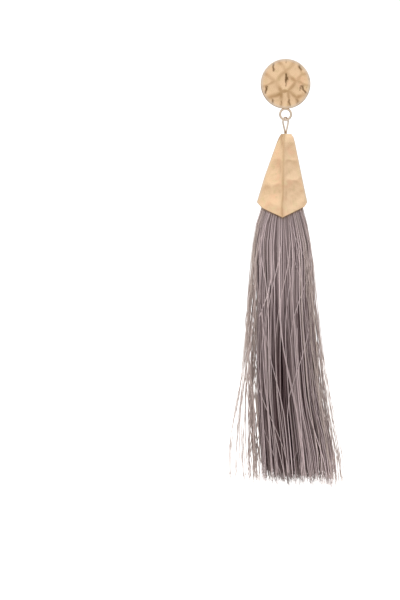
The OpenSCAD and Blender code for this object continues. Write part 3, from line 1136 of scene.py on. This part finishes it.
@dataclass
class TasselCap:
    """The hammered hollow cap, four-sided, with a lower edge that runs to a point at the front and back."""

    finish: SatinGold = SatinGold("hammered_gold")
    height: float = 22.5
    width: float = 13.7
    depth: float = 12.4
    corner_rise: float = 4.3
    wall: float = 0.8
    wall_top: float = 0.25
    wall_top_span: float = 0.11
    wall_corner: float = 0.4
    wall_corner_span: float = 1.4
    wall_steps: int = 20
    rim_edge: float = 0.1
    hole_d: float = 0.92
    plane_y: float = HANG_Y
    arris_flat: float = 0.56
    arris_uneven: float = 0.35
    arris_soft: float = 0.16
    arris_wander: float = 0.10
    corner_round: float = 0.1
    dent_depth: float = 0.26
    dent_edge: float = 1.8
    dent_top: float = 7.0
    ridge: float = 0.010
    uneven: float = 0.020
    uneven_edge: float = 0.7
    top_fade: Span = (0.2, 1.2)
    # Rubbed brass along the arris, with a painted dark reflection there.
    worn_reach: float = 0.42
    worn_top: float = 0.60
    worn_low: float = 0.10
    worn_span: Span = (0.35, 0.70)
    # Painted sheen towards the side corners.
    painted_sheen_edge: float = 0.5
    painted_sheen_span: Span = (0.86, 1.0)
    # Painted light: the right faces are a little paler.
    painted_light_right: float = 0.12
    lean_top: float = -0.06
    lean_tip: float = -0.13
    knees: tuple[tuple[float, float], tuple[float, float]] = ((0.78, 0.39), (0.87, 0.31))
    crowding: float = 0.6
    face_steps: int = 44
    rows: int = 120
    top_rows: int = 8
    edge_rounds: int = 12
    sections: tuple[CapSection, ...] = (
        CapSection(0.00, 0.13, 0.30, 0.20),
        CapSection(0.04, 0.21, 0.39, 0.30),
        CapSection(0.10, 0.29, 0.45, 0.37),
        CapSection(0.50, 0.735, 0.745, 0.645),
        CapSection(0.81, 1.02, 0.98, 0.865),
        CapSection(1.10, 1.28, 1.19, 1.07),
    )
    dents: tuple[CapDent, ...] = (
        CapDent(Side.LEFT, 0.50, 0.07, 0.50, 1.00),
        CapDent(Side.LEFT, 0.45, 0.45, 0.50, 1.00),
        CapDent(Side.LEFT, 0.22, 0.72, 0.42, 0.92),
        CapDent(Side.LEFT, 0.80, 0.74, 0.44, 0.90),
        CapDent(Side.RIGHT, 0.50, 0.20, 0.46, 1.00),
        CapDent(Side.RIGHT, 0.48, 0.42, 0.46, 1.00),
        CapDent(Side.RIGHT, 0.42, 0.72, 0.60, 1.05),
    )
    tip_z: float = field(init=False)

    def __post_init__(self) -> None:
        """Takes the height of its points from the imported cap."""
        self.tip_z = box_mm("tassel_cap")[0][2]

    @property
    def top_z(self) -> float:
        """Height of its top."""
        return self.tip_z + self.height

    @property
    def tip_x(self) -> float:
        """Place of its points along X."""
        return self.middle(1.0)

    def middle(self, down: Array | float) -> Array | float:
        """Place of the arris along X at places down the height."""
        return self.width / 2 * (self.lean_top + (self.lean_tip - self.lean_top) * down)

    def reach(self, down: Array | float, side: Array | int) -> Array:
        """Reach to the side corner, where side is -1 for the left and 1 for the right."""
        left, right = (column(self.sections, name, down) for name in ("left", "right"))
        return self.width / 2 * np.where(np.less(side, 0), left, right)

    def deep(self, down: Array) -> Array:
        """Reach to the front and to the back."""
        return self.depth / 2 * column(self.sections, "depth", down)

    def lower_edge(self, x: Array | float) -> Array:
        """Height of the lower edge, which bends at the knees.

        Args:
            x: Places along X.

        Returns:
            The heights.
        """
        corner = 1 - self.corner_rise / self.height
        middle = self.middle(corner)
        left, right = -self.reach(corner, -1), self.reach(corner, 1)
        (left_across, left_down), (right_across, right_down) = self.knees
        sides = middle + np.array([left, left * left_across, right * right_across, right])
        drop = np.interp(x, [*sides[:2], self.tip_x, *sides[2:]], [0.0, left_down, 1.0, right_down, 0.0])
        return self.tip_z + self.corner_rise * (1.0 - drop)

    @staticmethod
    def rounded(share: Array, size: Array) -> Array:
        """A share across a face, rounded near 0 over a small size."""
        return np.sqrt(size**2 + (1 - size**2) * share**2)

    @staticmethod
    def flattened(share: Array, size: Array, soft: Array) -> Array:
        """A share across a face, held level near 0 over a small size with a soft end."""
        return 0.5 * (share + size + np.sqrt((share - size) ** 2 + soft**2))

    def grid(self, base: Array) -> CapGrid:
        """Finds where each vertex of a straight tube comes on the cap.

        Args:
            base: Coordinates of the tube's vertices.

        Returns:
            Their places on the faces and over the top.
        """
        level = row_numbers(base, self.rows + self.top_rows)
        steps = np.rint(np.arctan2(base[:, 1], base[:, 0]) / (math.pi / 2) * self.face_steps)
        quarter = steps % (4 * self.face_steps) / self.face_steps
        side = np.where((quarter <= 1.0) | (quarter >= 3.0), 1, -1)
        front = np.where(quarter > 2.0, 1, -1)
        part = np.abs(quarter - np.array([0.0, 2.0, 4.0])[:, None]).min(axis=0)
        crowded = 0.5 - 0.5 * np.cos(math.pi * part)
        across = 1.0 - ((1.0 - self.crowding) * part + self.crowding * crowded)
        edge = np.full(len(base), 0.8)
        for _ in range(self.edge_rounds):
            edge_x = self.middle(edge) + side * self.reach(edge, side) * across
            edge = (self.top_z - self.lower_edge(edge_x)) / self.height
        along = np.clip((self.rows - level) / self.rows, 0.0, 1.0)
        over = np.clip((level - self.rows) / self.top_rows, 0.0, 1.0)
        down = edge * along
        sizes = self.reach(down, side), self.deep(down)
        return CapGrid(side, front, across, along, down, over, *sizes, base[:, :2])

    def face_sink(self, grid: CapGrid) -> Array:
        """How far the faces are hammered in.

        Args:
            grid: Where the vertices are.

        Returns:
            The depth at each vertex, less towards the edges and the top.
        """
        far, steps = 1000.0, []
        for dent in self.dents:
            away = np.where(grid.side * grid.front == dent.side.value, 0.0, far)
            fall = (grid.down - dent.down) * self.height + away
            steps.append(np.stack([(grid.across - dent.across) * grid.length, fall], axis=1))
        radius = np.array([d.radius * self.width / 2 for d in self.dents])
        depth = np.array([d.depth * self.dent_depth for d in self.dents])
        sunk = HammerMarks(np.stack(steps, axis=1), radius, depth).sink(self.ridge)
        sunk *= smooth(grid.edge, 0.0, self.dent_edge)
        return sunk * smooth(grid.down * self.height, 0.0, self.dent_top)

    def outside(self, grid: CapGrid, sunk: Array) -> Array:
        """Lays the faces out, with the marks hammered in, and draws the top in to the hole.

        Args:
            grid: Where the vertices are.
            sunk: How far they are hammered in.

        Returns:
            The places in millimetres.
        """
        side, front, across, down = grid.side, grid.front, grid.across, grid.down
        a, b, fall, none = grid.reach, grid.deep, self.height * down, np.zeros(len(down))
        height = np.stack([none, none, fall], axis=1)
        flat = self.arris_flat / 2 * (1.0 + self.arris_uneven * ripple(height, wave=5.0, seed=23))
        mean = (self.reach(down, -1) + self.reach(down, 1)) / 2
        x = a * (1.0 - self.rounded(1.0 - across, self.corner_round / a))
        y = b * (1.0 - self.flattened(across, flat / mean, self.arris_soft / mean))
        places = np.stack([side * x, -front * y, self.top_z - fall], axis=1)
        faded = smooth(fall, *self.top_fade)
        waves = ripple(places, wave=3.4, seed=21) + 0.4 * ripple(places, wave=1.5, seed=22)
        waves *= self.uneven * smooth(grid.edge, 0.0, self.uneven_edge) * faded
        places -= unit(np.stack([side * b, -front * a, none], axis=1)) * (sunk + waves)[:, None]
        wander = self.arris_wander * ripple(height, wave=7.0, seed=24)
        places[:, 0] += wander * (1.0 - across) ** 2 * faded
        hole = grid.round * (self.hole_d / 2) - [self.middle(0.0), 0.0]
        places[:, :2] += (hole - places[:, :2]) * grid.over[:, None]
        return places + np.stack([self.middle(down), none + self.plane_y, none], axis=1)

    def thicken(self, piece: bpy.types.Object, grid: CapGrid) -> None:
        """Gives the shell its wall, thinner at the top and towards the side corners, and soft edges.

        Args:
            piece: The shell.
            grid: Where its vertices are.
        """
        thin = piece.vertex_groups.new(name="wall")
        modify(piece, "wall", "SOLIDIFY", thickness=self.wall * MM, offset=-1.0, vertex_group=thin.name)
        limit = {"limit_method": "ANGLE", "angle_limit": math.radians(55)}
        modify(piece, "rim", "BEVEL", width=self.rim_edge * MM, segments=2, **limit)
        inward = (1.0 - grid.across) * grid.length
        top = self.wall_top + (1.0 - self.wall_top) * smooth(grid.along, 0.0, self.wall_top_span)
        corner = self.wall_corner + (1.0 - self.wall_corner) * smooth(inward, 0.0, self.wall_corner_span)
        weight = np.rint(self.wall_steps * top * corner)
        for step in np.unique(weight):
            thin.add(np.flatnonzero(weight == step).tolist(), step / self.wall_steps, "REPLACE")

    def build(self) -> None:
        """Makes the piece."""
        levels = self.rows + self.top_rows
        mesh = tube_stock("tassel_cap_shell", 4 * self.face_steps, levels, open_ends=True)
        grid = self.grid(read_points(mesh))
        sunk = self.face_sink(grid)
        write_points(mesh, self.outside(grid, sunk))
        # Rubbed brass with a painted dark reflection along the arris.
        aside = grid.across * grid.reach / self.worn_reach
        rubbed = self.worn_top + self.worn_low * smooth(grid.down, *self.worn_span)
        write_attributes(
            mesh,
            hollow=np.clip(sunk / self.dent_depth, 0.0, 1.0),
            worn=np.exp(-(aside**2)) * (grid.over <= 0) * rubbed,
            # painted sheen at the side corners, and painted light on the right faces
            pale=self.painted_sheen_edge * smooth(grid.across, *self.painted_sheen_span) + self.painted_light_right * (grid.side > 0),
        )
        piece = place_piece(mesh, Body.DROP, self.finish.build(), 60.0)
        self.thicken(piece, grid)
        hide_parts("tassel_cap")


@dataclass(frozen=True)
class TasselSection:
    """Outline of the tassel at a place down its length, as shares of its sizes."""

    down: float
    width: float
    depth: float
    middle: float
    roundness: float


@dataclass(frozen=True)
class Strands:
    """Threads that hang in one manner, between two shares of the way out from the tassel's middle."""

    name: str
    count: int
    inner: float
    outer: float
    thickness: float
    locks: int
    seed: int
    turn: float = 0.0
    spread: float = 180.0
    gather: float = 0.08
    drift: float = 0.03
    stray: float = 0.07
    cross: float = 0.0
    wave: float = 0.14
    narrow: float = 0.0
    narrow_right: float = 0.0
    part: float = 0.0
    # How much the painted shade in the tassel's middle darkens the set.
    dark: float = 0.0
    rise: float = 0.9
    rise_spread: float = 0.7
    warmth: float = 0.0
    shade: float = 1.0
    shade_spread: float = 0.88
    flare: float = 0.0


@dataclass
class Hanging:
    """Paths of threads with what their surface reads."""

    paths: Array
    radii: Array
    shade: Array
    warmth: Array


class Hank:
    """A set of threads that is being hung: its sizes, and what is drawn for it.

    A span is two shares of the length below the cap's points, between which a change sets in. Places of
    the threads are in a unit disc, which is laid on the tassel's outline at the end.
    """

    slant: float = 0.6
    lift: float = 0.35
    root_down: float = -0.17
    rings: int = 17
    gather_span: Span = (0.02, 0.45)
    part_at: float = -0.07
    part_width: float = 0.24
    part_span: Span = (0.22, 0.62)
    cross_start: Span = (-0.15, 0.7)
    cross_length: Span = (0.35, 0.60)
    flare_span: Span = (0.36, 1.0)
    narrow_span: Span = (0.0, 0.38)
    widen_right: float = 0.6
    widen_span: Span = (0.68, 0.92)
    wave_span: Span = (0.0, 0.3)
    neck_thin: float = 0.62
    neck_span: Span = (-0.06, 0.12)
    end_thin: float = 0.55
    # Painted shade in the tassel's middle, painted light at its top and ends, and painted shade that comes and
    # goes along each thread.
    dark_at: float = -1.3
    dark_width: float = 3.6
    dark_span: Span = (0.22, 0.52)
    top_light: float = 0.27
    top_light_span: Span = (0.0, 0.35)
    end_light: float = 0.9
    end_light_span: Span = (0.88, 0.99)
    sway: float = 0.22
    # Painted shade, darker deeper inside the tassel, eased near the top.
    depths: tuple[float, ...] = (0.30, 0.55, 0.70, 0.84, 0.95)
    depth_shades: tuple[float, ...] = (0.02, 0.05, 0.10, 0.22, 0.64)
    top_shade: float = 0.50
    top_shade_share: float = 0.60
    top_shade_span: Span = (0.02, 0.36)
    top_even: float = 0.35
    shade_range: Span = (0.02, 1.6)
    warmth_spread: float = 0.12

    def __init__(self, tassel: "ThreadTassel", strands: Strands) -> None:
        """Draws where the threads start, which lock each is in, and how far they fall.

        Args:
            tassel: The tassel that they are part of.
            strands: The set.
        """
        self.tassel, self.strands, self.each = tassel, strands, (strands.count, 1)
        self.rng = np.random.default_rng(strands.seed)
        self.start = self.spread_out(strands.count)
        locks = self.spread_out(strands.locks)
        self.lock = np.linalg.norm(self.start[:, None] - locks[None], axis=2).argmin(axis=1)
        self.centre = locks[self.lock]
        self.out = np.hypot(*self.start.T)[:, None]
        drift = self.rng.normal(0, strands.drift, (strands.locks, 2))[self.lock]
        self.drift = drift + self.rng.normal(0, strands.stray, self.start.shape)
        ended = np.clip(self.start[:, 0] + drift[:, 0], -1, 1)
        rise = self.lift + self.slant * ((1 - ended) / 2) ** 1.6
        rise += np.abs(self.rng.normal(strands.rise, strands.rise_spread, strands.count))
        lower = 1.0 - rise[:, None] / tassel.length
        self.down = self.root_down + (lower - self.root_down) * np.linspace(0, 1, self.rings) ** 1.05

    def spread_out(self, count: int, golden: float = 0.61803) -> Array:
        """Spreads places evenly over the ring or sector of the disc that the set fills.

        Args:
            count: Number of places.
            golden: Share of a sector from one place to the next.

        Returns:
            The places, in rows of two.
        """
        strands, order = self.strands, np.arange(count)
        share = (order + self.rng.uniform(0.2, 0.8, count)) / count
        out = np.sqrt(strands.inner**2 + (strands.outer**2 - strands.inner**2) * share)
        turn = math.radians(strands.turn) + math.radians(strands.spread) * (2 * (order * golden % 1.0) - 1)
        turn += self.rng.normal(0, 0.02, count)
        return np.stack([out * np.cos(turn), out * np.sin(turn)], axis=1)

    def grown(self, span: Span) -> Array:
        """Share of a change that has set in at each place down the threads."""
        return smooth(self.down, *span)

    def fanned(self) -> Array:
        """Gathers the threads in locks, parts them at the middle, and lets them cross.

        Returns:
            Their places down their length.
        """
        strands, rng = self.strands, self.rng
        gathered = (1 - strands.gather * self.grown(self.gather_span))[..., None]
        q = self.centre[:, None] + (self.start - self.centre)[:, None] * gathered
        q = q + self.drift[:, None] * self.grown((0.0, 1.0))[..., None]
        apart = q[..., 0] - self.part_at
        push = strands.part * rng.uniform(0.0, 1.6, self.each) * np.exp(-((apart / self.part_width) ** 2))
        push *= self.grown(self.part_span) * smooth(-q[..., 1], 0.15, 0.6)
        q[..., 0] += np.where(apart < 0, -1, 1) * push
        swung = np.radians(rng.normal(0, strands.cross, self.each))
        begun = rng.uniform(*self.cross_start, self.each)
        swung = swung * self.grown((begun, begun + rng.uniform(*self.cross_length, self.each)))
        x, y = q[..., 0], q[..., 1]
        return np.stack([x * np.cos(swung) - y * np.sin(swung), x * np.sin(swung) + y * np.cos(swung)], axis=-1)

    def held_in(self, q: Array) -> Array:
        """Keeps threads as far out as they start or as their set may reach, and draws the sides in.

        Args:
            q: Places of the threads.

        Returns:
            The new places.
        """
        strands = self.strands
        flared = 1.0 + strands.flare * self.rng.uniform(0.2, 1.3, self.each) * self.grown(self.flare_span)
        reach = np.hypot(q[..., 0], q[..., 1])
        held = self.out if strands.inner > 0.8 else np.minimum(strands.outer, reach)
        q = q * (flared * held / reach)[..., None]
        right = strands.narrow_right * (1.0 - self.widen_right * self.grown(self.widen_span))
        q[..., 0] *= 1.0 - np.where(q[..., 0] < 0, strands.narrow, right) * self.grown(self.narrow_span)
        return q

    def waves(self) -> Array:
        """How far threads wave about, in part with their lock and in part on their own.

        Returns:
            Steps along X and Y at each place, in millimetres.
        """
        own, total = np.arange(self.strands.count), np.zeros((*self.down.shape, 2))
        for amount, number, owner in ((0.8, 1.1, self.lock), (1.0, 2.3, own), (0.45, 4.2, own)):
            owners = self.strands.count if owner is own else self.strands.locks
            for axis in (0, 1):
                phase = self.rng.uniform(0, math.tau, owners)[owner, None]
                pace = number * self.rng.uniform(0.7, 1.3, owners)[owner, None]
                size = self.strands.wave * amount * self.rng.uniform(0.3, 1.0, owners)[owner, None]
                total[..., axis] += size * np.sin(math.tau * pace * self.down + phase)
        return total * self.grown(self.wave_span)[..., None]

    def shades(self, x: Array) -> Array:
        """How light threads are: a tone of their own, with painted shade deep inside and in the middle, and
        painted light at the top and the ends.

        Args:
            x: Places of the threads along X, in millimetres.

        Returns:
            The shade at each place.
        """
        strands, rng = self.strands, self.rng
        # painted shade, darker deeper inside, eased towards the top
        depth = np.interp(self.out, self.depths, self.depth_shades)
        even = self.top_shade_share * (1.0 - self.grown(self.top_shade_span))
        depth = depth + (self.top_shade - depth) * even
        uneven = strands.shade_spread * rng.uniform(-1.0, 1.0, self.each)
        uneven = uneven * (self.top_even + (1.0 - self.top_even) * self.grown(self.gather_span))
        # painted shade in the middle of the tassel, where the threads part
        gloom = np.exp(-(((x - self.dark_at) / (self.dark_width * (0.3 + self.down))) ** 2))
        light = 1.0 + self.top_light * (1.0 - self.grown(self.top_light_span))
        light += self.end_light * self.grown(self.end_light_span)
        # painted shade that comes and goes along each thread, where it passes under others
        sway = np.sin(self.down * rng.uniform(6, 14, self.each) + rng.uniform(0, 6.3, self.each))
        light *= (1.0 + self.sway * sway) * (1.0 - strands.dark * gloom * self.grown(self.dark_span))
        return np.clip(depth * strands.shade * (1.0 + uneven) * light, *self.shade_range)

    def hang(self) -> Hanging:
        """Works out how the threads hang.

        Returns:
            Their paths with what their surface reads.
        """
        q = self.held_in(self.fanned())
        places = self.tassel.on_section(self.down, q[..., 0], q[..., 1])
        places[..., :2] += self.waves()
        radii = self.strands.thickness / 2 * self.rng.uniform(0.85, 1.15, self.each)
        radii = radii * (self.neck_thin + (1.0 - self.neck_thin) * self.grown(self.neck_span))
        radii[:, -1] *= self.end_thin
        shade = self.shades(places[..., 0])
        warmth = self.strands.warmth + self.rng.normal(0, self.warmth_spread, self.strands.count)
        return Hanging(places, radii, shade, np.clip(warmth, 0.0, 1.0))


@dataclass
class ThreadTassel:
    """Several hundred threads that fan out from a bound head in the cap."""

    cap: TasselCap
    finish: SilkThread = SilkThread("silk_thread")
    length: float = 70.6
    width: float = 25.4
    depth: float = 19.4
    plane_y: float = HANG_Y
    thread_sides: int = 4
    sections: tuple[TasselSection, ...] = (
        TasselSection(-0.170, 0.235, 0.250, -0.052, 1.10),
        TasselSection(-0.061, 0.425, 0.435, -0.062, 1.06),
        TasselSection(-0.022, 0.480, 0.480, -0.070, 1.10),
        TasselSection(0.00, 0.520, 0.515, -0.075, 1.20),
        TasselSection(0.05, 0.588, 0.605, -0.082, 1.55),
        TasselSection(0.14, 0.650, 0.680, -0.065, 1.85),
        TasselSection(0.32, 0.738, 0.765, -0.062, 2.00),
        TasselSection(0.50, 0.814, 0.845, -0.030, 2.00),
        TasselSection(0.68, 0.885, 0.910, 0.030, 2.00),
        TasselSection(0.86, 0.965, 0.975, 0.130, 2.00),
        TasselSection(0.96, 0.990, 1.000, 0.180, 2.00),
        TasselSection(1.00, 0.960, 0.980, 0.200, 2.00),
    )
    body: Strands = Strands(
        "tassel_threads", 860, 0.0, 0.84, 0.24, 300, 5, stray=0.10, cross=8.0, narrow=0.22, narrow_right=0.15,
        part=0.10, dark=0.94, rise=3.7, rise_spread=1.5, shade_spread=0.95,
    )
    others: tuple[Strands, ...] = (
        Strands(
            "tassel_front", 120, 0.84, 0.96, 0.24, 120, 17, turn=-90, spread=88, stray=0.10, cross=11.0,
            narrow=0.28, narrow_right=0.21, part=0.22, dark=0.90, rise=2.8, rise_spread=1.5, shade_spread=0.95,
        ),
        Strands(
            "tassel_back", 128, 0.84, 0.96, 0.24, 128, 18, turn=90, spread=88, stray=0.10, cross=15.0,
            narrow=0.28, narrow_right=0.21, rise=2.8, rise_spread=1.5,
        ),
        Strands(
            "tassel_strays", 66, 0.96, 0.99, 0.21, 66, 7, drift=0.0, stray=0.05, cross=46.0, wave=0.05,
            narrow=0.27, narrow_right=0.20, dark=0.25, rise=1.8, rise_spread=1.5, shade=1.65, shade_spread=0.25,
        ),
        Strands(
            "tassel_left", 24, 0.78, 0.96, 0.21, 10, 8, turn=180, spread=20, gather=0.15, drift=0.02,
            stray=0.05, cross=3.0, wave=0.62, warmth=0.7, shade=1.6, shade_spread=0.5, flare=0.06,
        ),
        Strands(
            "tassel_left_loose", 6, 0.70, 0.78, 0.20, 6, 19, turn=180, spread=16, drift=0.0, stray=0.03,
            wave=1.3, warmth=0.6, shade=1.6, shade_spread=0.3,
        ),
        Strands(
            "tassel_right", 20, 0.74, 0.92, 0.20, 12, 9, turn=-4, spread=30, gather=0.1, drift=0.02, stray=0.07,
            cross=3.0, wave=0.5, warmth=0.2, shade=1.5, shade_spread=0.5,
        ),
        Strands(
            "tassel_left_wisp", 18, 0.93, 1.0, 0.12, 18, 10, turn=180, spread=16, drift=0.0, stray=0.06,
            cross=3.0, wave=0.25, warmth=0.9, shade=1.3, shade_spread=0.4, flare=0.40,
        ),
        Strands(
            "tassel_right_wisp", 34, 0.82, 1.0, 0.12, 34, 12, turn=-5, spread=34, drift=0.0, stray=0.06,
            cross=5.0, wave=0.3, warmth=0.8, shade=1.3, shade_spread=0.4, flare=0.10,
        ),
    )
    fray_count: int = 2
    fray_d: float = 0.09
    fray_length: Span = (0.6, 3.4)
    fray_taper: tuple[float, ...] = (1.0, 1.0, 0.9, 0.7, 0.35)
    fray_warmth: float = 0.2
    shadow_reach: float = 4.0
    head_sides: int = 48
    head_levels: int = 96
    head_top: float = 0.10
    head_low: float = 0.54
    head_clear: float = 1.2
    head_wrap: float = 0.9
    head_ridge: float = 0.06
    head_roundness: float = 1.15
    head_shade: float = 0.5

    def on_section(self, down: Array, across: Array, front: Array) -> Array:
        """Places of a unit disc laid on the tassel's outline.

        Args:
            down: Places down the length.
            across: Places in the disc along X, from -1 to 1.
            front: Places in the disc along Y.

        Returns:
            The places in millimetres.
        """
        turn = np.arctan2(front, across)
        out = np.hypot(across, front)
        a = self.width / 2 * column(self.sections, "width", down)
        b = self.depth / 2 * column(self.sections, "depth", down)
        p = column(self.sections, "roundness", down)
        reach = ((np.abs(np.cos(turn)) / a) ** p + (np.abs(np.sin(turn)) / b) ** p) ** (-1 / p)
        x = self.width / 2 * column(self.sections, "middle", down) + out * reach * np.cos(turn)
        y = self.plane_y + out * reach * np.sin(turn)
        return np.stack([x, y, self.cap.tip_z - self.length * down], axis=-1)

    def make_threads(
        self, name: str, hanging: Hanging, sides: int, finish: bpy.types.Material
    ) -> bpy.types.Object:
        """Makes one piece of the threads in a set.

        Args:
            name: Name of the piece.
            hanging: How the threads hang.
            sides: Number of sides of a thread.
            finish: The threads' material.

        Returns:
            The piece.
        """
        levels = hanging.radii.shape[1] - 1
        stock = tube_stock(name + "_stock", sides, levels)
        mesh = bend_tubes(name, stock, hanging.paths, hanging.radii, (1.0, 0.0, 0.0))
        shade = hanging.shade[:, row_numbers(read_points(stock), levels)].ravel()
        write_attributes(mesh, shade=shade, warmth=np.repeat(hanging.warmth, len(stock.vertices)))
        return place_piece(mesh, Body.DROP, finish, 80.0)

    def frays(self, hangings: Sequence[Hanging]) -> Hanging:
        """Lets hair-thin fibres stray from the cut ends of threads.

        Args:
            hangings: How the threads hang.

        Returns:
            How the fibres hang.
        """
        rng = np.random.default_rng(31)
        paths, shade, warmth = (
            np.concatenate([getattr(h, name) for h in hangings]) for name in ("paths", "shade", "warmth")
        )
        pick = np.repeat(np.arange(len(paths)), self.fray_count)
        count, places = (len(pick), 1), len(self.fray_taper)
        end = paths[pick, -1]
        way = unit(end - paths[pick, -2])
        start = end - way * rng.uniform(0.5, 2.5, count)
        length = rng.uniform(*self.fray_length, count) + np.linalg.norm(end - start, axis=1)[:, None]
        aside = rng.normal(0, 1, (len(pick), 3)) * [1, 1, 0.15]
        steps = np.linspace(0, 1, places)[None, :, None]
        curve = start[:, None] + (way * length)[:, None] * steps + (0.12 * aside * length)[:, None] * steps**2
        radii = self.fray_d / 2 * rng.uniform(0.6, 1.1, count) * np.array(self.fray_taper)
        warmth = np.clip(warmth[pick] + self.fray_warmth, 0, 1)
        return Hanging(curve, radii, shade[pick, -1:].repeat(places, axis=1), warmth)

    def bound_head(self, finish: bpy.types.Material) -> bpy.types.Object:
        """Makes the bound head inside the cap, which the threads hang from.

        Args:
            finish: The threads' material.

        Returns:
            The piece.
        """
        cap, p = self.cap, self.head_roundness
        mesh = tube_stock("tassel_head", self.head_sides, self.head_levels)
        base = read_points(mesh)
        down = self.head_low + (self.head_top - self.head_low) * base[:, 2]
        a, b = cap.reach(down, np.where(base[:, 0] < 0, -1, 1)), cap.deep(down)
        inset = self.head_clear * np.hypot(a, b) / (a * b)
        across, front = np.abs(base[:, 0]), np.abs(base[:, 1])
        reach = ((across / a) ** p + (front / b) ** p + 1e-9) ** (-1 / p)
        wound = 1.0 + self.head_ridge * np.sin(math.tau * cap.height * down / self.head_wrap)
        size = (1.0 - inset) * reach * wound * np.hypot(across, front)
        x = cap.middle(down) + base[:, 0] * size
        places = [x, self.plane_y + base[:, 1] * size, cap.top_z - cap.height * down]
        write_points(mesh, np.stack(places, axis=1))
        write_attributes(mesh, shade=np.full(len(base), self.head_shade))
        return place_piece(mesh, Body.DROP, finish)

    def build(self) -> None:
        """Makes the pieces."""
        climb = self.cap.lower_edge(self.cap.tip_x + self.shadow_reach) - self.cap.tip_z
        material = self.finish.build((self.cap.tip_x, self.cap.tip_z), climb / self.shadow_reach)
        self.bound_head(material)
        hangings = [Hank(self, strands).hang() for strands in (self.body, *self.others)]
        body = self.make_threads(self.body.name, hangings[0], self.thread_sides, material)
        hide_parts("tassel")
        for strands, hanging in zip(self.others, hangings[1:]):
            self.make_threads(strands.name, hanging, self.thread_sides, material)
        self.make_threads("tassel_frays", self.frays(hangings), 3, material)


@dataclass
class Studio:
    """A white studio: pale floor, soft light all round, and a camera level with the middle of the drop."""

    frame_h: float = 160.9
    look_x: float = -22.93
    look_z: float = -57.93
    distance: float = 1200.0
    sensor: float = 36.0
    floor_gap: float = 45.0
    floor_size: float = 6.0
    white: Colour = (1.0, 1.0, 1.0)
    warm: Colour = (1.0, 0.82, 0.66)
    warm_share: float = 0.8
    backdrop: float = 1.2
    light: float = 0.83
    light_above: float = 0.08
    side_below: float = -0.21
    side_above: float = 0.44
    light_behind: float = -0.40

    def camera(self) -> None:
        """Makes the camera, level and square to the front."""
        data = bpy.data.cameras.new("camera")
        data.sensor_fit = "VERTICAL"
        data.sensor_height = self.sensor
        data.lens = self.sensor * self.distance / self.frame_h
        data.clip_start, data.clip_end = 0.01, 50.0
        camera = in_scene(data)
        camera.location = (self.look_x * MM, -self.distance * MM, self.look_z * MM)
        camera.rotation_euler = (math.pi / 2, 0.0, 0.0)
        bpy.context.scene.camera = camera

    def floor(self) -> None:
        """Makes the floor."""
        bm = bmesh.new()
        bmesh.ops.create_grid(bm, x_segments=1, y_segments=1, size=self.floor_size)
        floor = in_scene(named_mesh("floor", bm))
        floor.data.materials.append(StudioPaper().build())
        floor.location.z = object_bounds()[0].z - self.floor_gap * MM
        floor.visible_glossy = False
        floor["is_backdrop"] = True

    def surroundings(self) -> None:
        """Makes the light all round, brightest at the sides and above and dimmest behind the earring."""
        world = bpy.data.worlds.new("studio")
        world.use_nodes = True
        bpy.context.scene.world = world
        board = NodeBoard(world.node_tree)
        x, y, z = board.split(board.add("TexCoord", output="Generated"))
        side = abs(x).step(0.30, 0.90)
        level = self.light + z.step(-0.45, 0.45) * (1.0 - side) * self.light_above
        level = level + side * (z.step(-0.25, 0.65) * self.side_above + self.side_below)
        level = level + y.step(0.05, 0.55) * self.light_behind
        seen = board.add("LightPath", output="Is Camera Ray")
        dim = level.step(1.0, 0.35) * (1.0 - seen) * self.warm_share
        tint = board.blend(dim, self.white, self.warm)
        level = level + seen * (self.backdrop - level)
        glow = board.add("Background", None, {"Color": tint, "Strength": level})
        board.add("OutputWorld", None, {"Surface": glow})

    def build(self) -> None:
        """Makes the studio."""
        bpy.context.scene.view_settings.view_transform = "Standard"
        self.camera()
        self.floor()
        self.surroundings()


def main() -> None:
    """Builds the earring piece by piece and sets it in the studio."""
    logging.basicConfig(level=logging.INFO, format="%(message)s")
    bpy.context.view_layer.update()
    cap = TasselCap()
    for assembly in (HammeredDisc(), EarPost(), WireEye(), cap, ThreadTassel(cap), Studio()):
        assembly.build()


if __name__ == "__main__":
    main()
